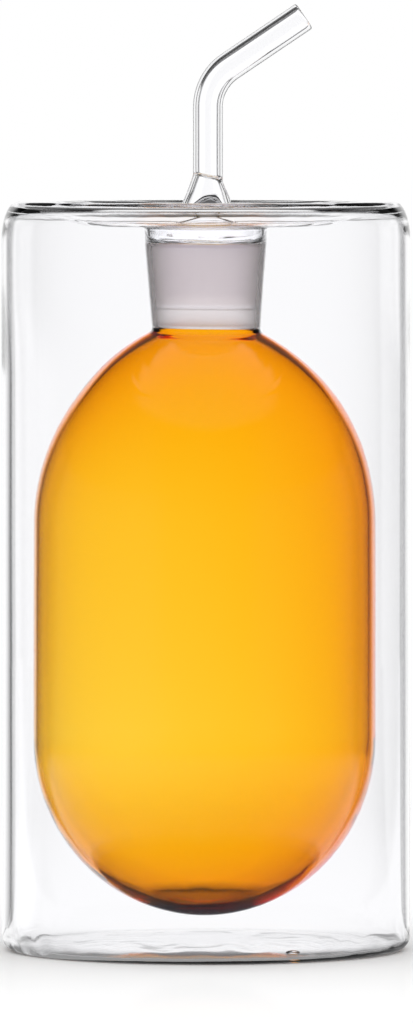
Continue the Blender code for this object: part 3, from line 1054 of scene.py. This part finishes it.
@dataclass
class Spout:
    """The stopper's clear dome, drawn up into the bent pouring tube."""

    foot_radius: float = 5.7 * MM
    foot_fillet: float = 0.4 * MM
    dome_wall: float = 1.1 * MM
    foot_handle: float = 0.08
    neck_handle: float = 0.04
    tube_radius: float = 2.75 * MM
    tube_wall: float = 0.9 * MM
    seam_ridge: float = 0.28 * MM
    seam_height: float = 0.5 * MM
    seam_slope: float = 0.24
    seam_reach: float = 3.0 * MM
    tube_offset: float = 0.36 * MM
    rise: float = 17.9 * MM
    reach: float = 21.5 * MM
    bend_radius: float = 9.4 * MM
    bend_angle: float = math.radians(56)
    seam: float = 0.03 * MM
    worked_wave: float = 0.03 * MM
    row: float = 0.45 * MM
    dome_steps: int = 22
    ridge_steps: int = 6
    fillet_steps: int = 8
    lip_steps: int = 12
    turn_steps: int = 128
    seed: float = 14.0

    def wall_line(
        self, foot: float, foot_z: float, neck: float, dome_z: float, tube_z: float, ridge: float = 0.0
    ) -> Outline:
        """One wall from above the dome's foot up the dome and the straightened tube.

        Args:
            foot: Radius of the dome's foot.
            foot_z: Height of the foot.
            neck: Radius of the tube.
            dome_z: Height at which the dome ends.
            tube_z: Height at which the straightened tube ends.
            ridge: How far the weld stands in over the dome.

        Returns:
            The outline.
        """
        start_z = foot_z + self.foot_fillet
        low_z = start_z + self.foot_handle * (dome_z - foot_z)
        high_z = dome_z - self.neck_handle * (dome_z - foot_z)
        line = Outline()
        line.glass(worked=self.worked_wave)
        line.add((foot, start_z))
        line.curve_to(self.dome_steps, (foot, low_z), (neck, high_z), (neck, dome_z))
        if ridge:
            first, middle, third, top = (dome_z + self.seam_height * k / 4 for k in (1, 2, 3, 4))
            crest = neck - ridge
            line.curve_to(self.ridge_steps, (neck, first), (crest, first), (crest, middle))
            line.curve_to(self.ridge_steps, (crest, third), (neck, third), (neck, top))
        line.glass(worked=self.worked_wave * CALM)
        line.line_to((neck, tube_z), self.row)
        return line

    def build(self, shop: Workshop) -> None:
        """Make the dome and the tube.

        Args:
            shop: The trees and glasses.
        """
        low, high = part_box("stopper_dome")
        foot_z = low.z - WELD_GAP + self.seam
        tangent = self.bend_radius * math.tan(self.bend_angle / 2)
        bend_z = high.z + self.rise - tangent
        end_z = bend_z + self.bend_radius * self.bend_angle + self.reach - tangent
        bore = self.tube_radius - self.tube_wall
        lip = self.tube_wall / 2
        foot, inner_foot = self.foot_radius, self.foot_radius - self.dome_wall

        line = Outline()
        line.glass(worked=self.worked_wave)
        line.add((inner_foot, foot_z))
        line.line_to((foot + self.foot_fillet, foot_z), self.row)
        line.curve_to(self.fillet_steps, (foot, foot_z), (foot, foot_z + self.foot_fillet))
        line.extend(self.wall_line(foot, foot_z, self.tube_radius, high.z, end_z - lip))
        line.glass()
        line.arc(self.lip_steps, (bore + lip, end_z - lip), (lip, lip), 0.0, math.pi)
        inside = self.wall_line(inner_foot, foot_z, bore, high.z, end_z - lip, self.seam_ridge)
        line.extend(inside, backwards=True)
        line.line_to((inner_foot, foot_z), self.row)
        line.lean(self.tube_offset, high.z, foot_z)
        spout = shop.turn("domed_spout", line, shop.clear, steps=self.turn_steps, seed=self.seed)
        for vertex in spout.data.vertices:
            near = max(0.0, 1.0 - abs(vertex.co.z - high.z) / self.seam_reach)
            vertex.co.z -= self.seam_slope * vertex.co.x * near
        arc = {"Start Height": bend_z, "Bend Radius": self.bend_radius, "Bend Angle": self.bend_angle}
        shop.bend.apply(spout, arc | {"Glass": shop.clear})
        shop.hand_over(spout, Body.SPOUT, ("stopper_dome", "spout_tube"))


@dataclass
class Studio:
    """A bright table and backdrop, with narrow dark flags between the main view directions.

    A glass photographer stands such flags beside a clear object: they are what its edges show as dark lines.
    Above the backdrop the room is dark up to the soft light overhead. Each step from one brightness to
    another runs over a range: a cosine round the horizon, an angle above it, or a distance on the table.
    """

    main_views: int = 4
    flag: float = 0.08
    flag_range: Range = (-0.75, 0.45)
    card_range: Range = (-0.89, -0.84)
    swell: float = 0.14
    swell_range: Range = (0.9, 0.985)
    side_slope: float = 0.03
    backdrop: float = 1.0
    deep_backdrop: float = 1.1
    matt_backdrop: float = 1.15
    front_range: Range = (0.86, 0.94)
    side_card: float = 0.95
    side_card_front: Range = (0.783, 0.799)
    side_card_back: Range = (0.40, 0.50)
    far_room: float = 0.2
    dark_room: float = 0.05
    behind_range: Range = (-0.95, -0.8)
    ceiling_gap: float = 0.12
    ceiling_range: Range = (math.radians(13), math.radians(18))
    overhead: float = 0.9
    overhead_range: Range = (math.radians(50), math.radians(56))
    diffuse_light: float = 1.1

    wall_depth: float = 3.0
    base_depth: float = 3.5
    flask_depth: float = 5.5
    neck_depth: float = 9.5

    floor_radius: float = 1.0
    floor_sides: int = 96
    floor_colour: str = "#FCFCFC"
    floor_roughness: float = 0.05
    floor_gloss: float = 0.06
    floor_end: Range = (0.12, 0.40)
    near_light: float = 0.95
    # painted shade on the table, seen only through the glass: a contact shadow under the bottle, darker where
    # the flask's foot mirrors it
    painted_contact_shadow: float = 0.32
    foot_painted_shade: float = 0.08
    painted_contact_shadow_range: Range = (18.0 * MM, 31.0 * MM)
    heel_range: Range = (33.5 * MM, 36.5 * MM)
    painted_shade_span: Range = (39.0 * MM, 43.0 * MM)
    flask_range: Range = (0.2, 0.35)
    back_range: Range = (0.47, 0.64)
    heel_reach: float = 36.0 * MM

    lamp_power: float = 0.8
    lamp_size: float = 0.9
    lamp_place: tuple[float, float, float] = (-0.25, -0.2, 1.3)
    eye: tuple[float, float, float] = (0.0, -1.95, 0.157)
    target: tuple[float, float, float] = (0.0001, 0.0, 0.080422)
    focal_length: float = 373.64
    sensor: float = 36.0
    bounces: int = 40
    mirror_bounces: int = 16

    def aim(self, name: str, data: Any, place: Vector, target: Vector) -> Piece:
        """Stand a camera or lamp at a place and turn it to a target.

        Args:
            name: The object's name.
            data: The camera or lamp.
            place: Where it stands.
            target: What it points at.

        Returns:
            The linked object.
        """
        stood = bpy.data.objects.new(name, data)
        stood.location = place
        stood.rotation_mode = "QUATERNION"
        stood.rotation_quaternion = (target - place).to_track_quat("-Z", "Y")
        bpy.context.collection.objects.link(stood)
        return stood

    def camera(self) -> None:
        """A long lens a little above the bottle's top, level with the photo's view."""
        data = bpy.data.cameras.new("camera")
        data.lens = self.focal_length
        data.sensor_width = self.sensor
        camera = self.aim("camera", data, Vector(self.eye), Vector(self.target))
        bpy.context.scene.camera = camera

    def lamp(self) -> None:
        """One large soft lamp overhead, which shades the floor and is not seen in the glass."""
        data = bpy.data.lights.new("overhead_softbox", "AREA")
        data.shape = "DISK"
        data.size = self.lamp_size
        data.energy = self.lamp_power
        lamp = self.aim("overhead_softbox", data, Vector(self.lamp_place), Vector())
        lamp.visible_camera = False
        lamp.visible_glossy = False
        lamp.visible_transmission = False

    def world(self) -> None:
        """White to the camera, even light on surfaces, and the backdrop with its flags to the glass."""
        world = bpy.data.worlds.new("studio")
        world.use_nodes = True
        bpy.context.scene.world = world
        seen = Surroundings(world.node_tree, self)
        across, ahead, up = seen.add(SPLIT, seen.add(PLACE, output="Generated")).node.outputs
        around = seen.around(seen.add(MATH, across, ahead, operation="ARCTAN2"))
        climb = seen.add(MATH, up, operation="ARCSINE")
        below = seen.add(STEP, climb, *self.ceiling_range, 1.0, self.ceiling_gap, **SMOOTH)
        overhead = seen.add(STEP, climb, *self.overhead_range, 0.0, self.overhead, **SMOOTH)
        walls = seen.add(MATH, around, below, operation="MULTIPLY")
        banded = seen.add(MATH, walls, overhead, operation="MAXIMUM")
        lit = seen.scattered(seen.add(MATH, banded, seen.exposure(), operation="MULTIPLY"))
        glass = seen.add(MIX, {"Factor": seen.in_glass, "A": self.diffuse_light, "B": lit})
        strength = seen.add(MIX, {"Factor": seen.by_camera, "A": glass, "B": 1.0})
        seen.set(world.node_tree.nodes["Background"], {"Color": (1.0, 1.0, 1.0, 1.0), "Strength": strength})

    def floor(self) -> None:
        """A round white acrylic table top, a little glossy, that turns into the backdrop far from the bottle."""
        bm = bmesh.new()
        bmesh.ops.create_circle(bm, cap_ends=True, segments=self.floor_sides, radius=self.floor_radius)
        mesh = bpy.data.meshes.new("table_top")
        bm.to_mesh(mesh)
        bm.free()
        table = bpy.data.objects.new("table_top", mesh)
        bpy.context.collection.objects.link(table)
        material = bpy.data.materials.new("white acrylic")
        material.use_nodes = True
        material.cycles.emission_sampling = "NONE"
        seen = Surroundings(material.node_tree, self)
        shader = material.node_tree.nodes["Principled BSDF"]
        seen.set(shader, {"Base Color": linear(self.floor_colour), "Roughness": 1.0, "Specular IOR Level": 0.0})
        place = seen.add(PLACE, output="Object")
        distance = seen.add(VECTOR, place, operation="LENGTH", output="Value")
        away = seen.add(STEP, distance, *self.floor_end, 0.0, 1.0, **SMOOTH)
        gloss = seen.add("ShaderNodeBsdfGlossy", {"Roughness": self.floor_roughness})
        polished = seen.add("ShaderNodeMixShader", self.floor_gloss, shader.outputs[0], gloss)
        white = seen.add("ShaderNodeEmission", {"Strength": 1.0})
        plain = seen.add("ShaderNodeMixShader", away, polished, white)
        # to rays through the glass the table glows, with painted shade under and round the bottle
        glass = seen.add("ShaderNodeEmission", {"Strength": seen.table(place, distance, away)})
        mixed = seen.add("ShaderNodeMixShader", seen.in_glass, plain, glass)
        seen.set(material.node_tree.nodes["Material Output"], {"Surface": mixed})
        table.data.materials.append(material)

    def build(self) -> None:
        """Set the studio up."""
        self.camera()
        self.lamp()
        self.world()
        self.floor()
        scene = bpy.context.scene
        scene.view_settings.view_transform = "Standard"
        scene.cycles.max_bounces = self.bounces
        scene.cycles.transmission_bounces = self.bounces
        scene.cycles.glossy_bounces = self.mirror_bounces
        LOG.info("studio: camera, overhead lamp, backdrop and table top")


class Surroundings(Graph):
    """What rays that have met glass see round the bottle, as brightness in one node tree.

    How many surfaces a ray has passed tells which pieces it went through.
    """

    def __init__(self, tree: bpy.types.NodeTree, studio: Studio) -> None:
        """Read the light path.

        Args:
            tree: The tree that takes the nodes.
            studio: The studio that is seen.
        """
        super().__init__(tree)
        self.studio = studio
        path = self.add("ShaderNodeLightPath").node.outputs
        self.by_camera = path["Is Camera Ray"]
        self.passed = path["Transmission Depth"]
        self.mirrored = self.add(MATH, path["Glossy Depth"], 0.5, operation="GREATER_THAN")
        self.in_flask = self.add(MATH, self.passed, studio.flask_depth, operation="GREATER_THAN")
        self.in_glass = self.add(MATH, path["Is Glossy Ray"], path["Is Transmission Ray"], operation="MAXIMUM")

    def flags(self, angle: Socket) -> Socket:
        """Bright ahead of every main view, with a dark flag on each side of a card half way to the next.

        Args:
            angle: The angle round the horizon.

        Returns:
            The brightness.
        """
        studio = self.studio
        turns = self.add(MATH, angle, studio.main_views, operation="MULTIPLY")
        wave = self.add(MATH, turns, operation="COSINE")
        ahead = self.add(STEP, wave, *studio.flag_range, studio.flag, 1.0, **SMOOTH)
        between = self.add(STEP, wave, *studio.card_range, 1.0, studio.flag, **SMOOTH)
        bright = self.add(MATH, ahead, between, operation="MAXIMUM")
        near = self.add(STEP, wave, *studio.swell_range, studio.swell, 0.0, **SMOOTH)
        clear = self.add(MATH, self.passed, studio.flask_depth, operation="LESS_THAN")
        swell = self.add(MATH, near, clear, 1.0, operation="MULTIPLY_ADD")
        side = self.add(MATH, turns, operation="SINE")
        slope = self.add(MATH, side, studio.side_slope, 1.0, operation="MULTIPLY_ADD")
        return self.add(MATH, self.add(MATH, bright, swell, operation="MULTIPLY"), slope, operation="MULTIPLY")

    def room(self, angle: Socket) -> Socket:
        """What reflections in the glass show: the backdrop's end, a dark flag, a white card and the dim room.

        Args:
            angle: The angle round the horizon.

        Returns:
            The brightness.
        """
        studio = self.studio
        towards = self.add(MATH, angle, operation="COSINE")
        front = self.add(STEP, towards, *studio.front_range, studio.flag, 1.0, **SMOOTH)
        card_front = self.add(STEP, towards, *studio.side_card_front, studio.side_card, 0.0, **SMOOTH)
        card_back = self.add(STEP, towards, *studio.side_card_back, 0.0, 1.0, **SMOOTH)
        card = self.add(MATH, card_front, card_back, operation="MULTIPLY")
        inner = self.add(MATH, self.passed, studio.wall_depth, operation="LESS_THAN")
        far = self.add(STEP, towards, *studio.side_card_back, studio.far_room, studio.flag, **SMOOTH)
        beside = self.add(MATH, far, self.add(MATH, card, inner, operation="MULTIPLY"), operation="MAXIMUM")
        behind = self.add(STEP, towards, *studio.behind_range, studio.dark_room, 1.0, **SMOOTH)
        return self.add(MATH, self.add(MATH, front, beside, operation="MAXIMUM"), behind, operation="MULTIPLY")

    def around(self, angle: Socket) -> Socket:
        """Brightness round the horizon: the flags for straight paths, the room for mirrored ones."""
        return self.add(MIX, {"Factor": self.mirrored, "A": self.flags(angle), "B": self.room(angle)})

    def exposure(self) -> Socket:
        """The backdrop's strength, a little more behind the flask, which the photo shows as bright."""
        plain, deep = self.studio.backdrop, self.studio.deep_backdrop
        return self.add(MIX, {"Factor": self.in_flask, "A": plain, "B": deep})

    def scattered(self, strength: Socket) -> Socket:
        """Even light for rays through the ground neck and cone, and the given strength for all others."""
        matt = self.add(MATH, self.passed, self.studio.neck_depth, operation="GREATER_THAN")
        return self.add(MIX, {"Factor": matt, "A": strength, "B": self.studio.matt_backdrop})

    def table(self, place: Socket, distance: Socket, away: Socket) -> Socket:
        """The table: painted shade under and just round the heel, light around, and like the backdrop behind the
        bottle and far off.

        Args:
            place: The place on the table.
            distance: Its distance from the bottle's axis.
            away: How far the table has turned into the backdrop.

        Returns:
            The brightness.
        """
        studio = self.studio
        x, y, _ = self.add(SPLIT, place).node.outputs
        plain = self.add(MATH, x, y, operation="ARCTAN2")
        ahead = self.add(MATH, plain, operation="COSINE")
        behind = self.add(STEP, ahead, *studio.back_range, 0.0, 1.0, **SMOOTH)
        out = self.add(MATH, self.add(MATH, x, operation="ABSOLUTE"), studio.heel_reach, operation="SUBTRACT")
        beside = self.add(MATH, out, 0.0, operation="MAXIMUM")
        gap = self.add(MATH, beside, self.add(MATH, plain, operation="SIGN"), operation="MULTIPLY")
        past_heel = self.add(MATH, gap, y, operation="ARCTAN2")
        around = self.around(self.add(MIX, {"Factor": behind, "A": plain, "B": past_heel}))
        close = self.add(STEP, distance, *studio.flask_range, 1.0, 0.0, **SMOOTH)
        even = self.add(MATH, self.in_flask, close, operation="MULTIPLY")
        shown = self.add(MIX, {"Factor": even, "A": around, "B": studio.near_light})
        lit = self.add(MATH, shown, self.exposure(), operation="MULTIPLY")
        # painted shade on the table just round the heel
        near = self.add(STEP, distance, *studio.painted_shade_span, studio.painted_contact_shadow, studio.near_light, **SMOOTH)
        beyond = self.add(MIX, {"Factor": behind, "A": near, "B": lit})
        # painted contact shadow under the bottle
        ring = self.add(STEP, distance, *studio.painted_contact_shadow_range, studio.near_light, studio.painted_contact_shadow, **SMOOTH)
        # painted shade, darker still, where the flask's foot mirrors the table under it
        inside = self.add(MATH, self.passed, studio.base_depth, operation="GREATER_THAN")
        in_foot = self.add(MATH, self.mirrored, inside, operation="MULTIPLY")
        under = self.add(MIX, {"Factor": in_foot, "A": ring, "B": studio.foot_painted_shade})
        outside = self.add(STEP, distance, *studio.heel_range, 0.0, 1.0, **SMOOTH)
        below = self.add(MIX, {"Factor": outside, "A": under, "B": beyond})
        return self.scattered(self.add(MIX, {"Factor": away, "A": below, "B": lit}))


def main() -> None:
    """Build the studio and every piece of the bottle."""
    logging.basicConfig(level=logging.INFO, format="%(message)s")
    Studio().build()
    shop = Workshop()
    shell = OuterShell()
    shell.build(shop)
    VentBead().build(shop, shell)
    neck = Neck()
    neck.build(shop)
    Flask().build(shop, neck)
    Cone().build(shop, neck)
    spout = Spout()
    Collar().build(shop, spout.foot_radius - spout.dome_wall)
    spout.build(shop)


if __name__ == "__main__":
    main()
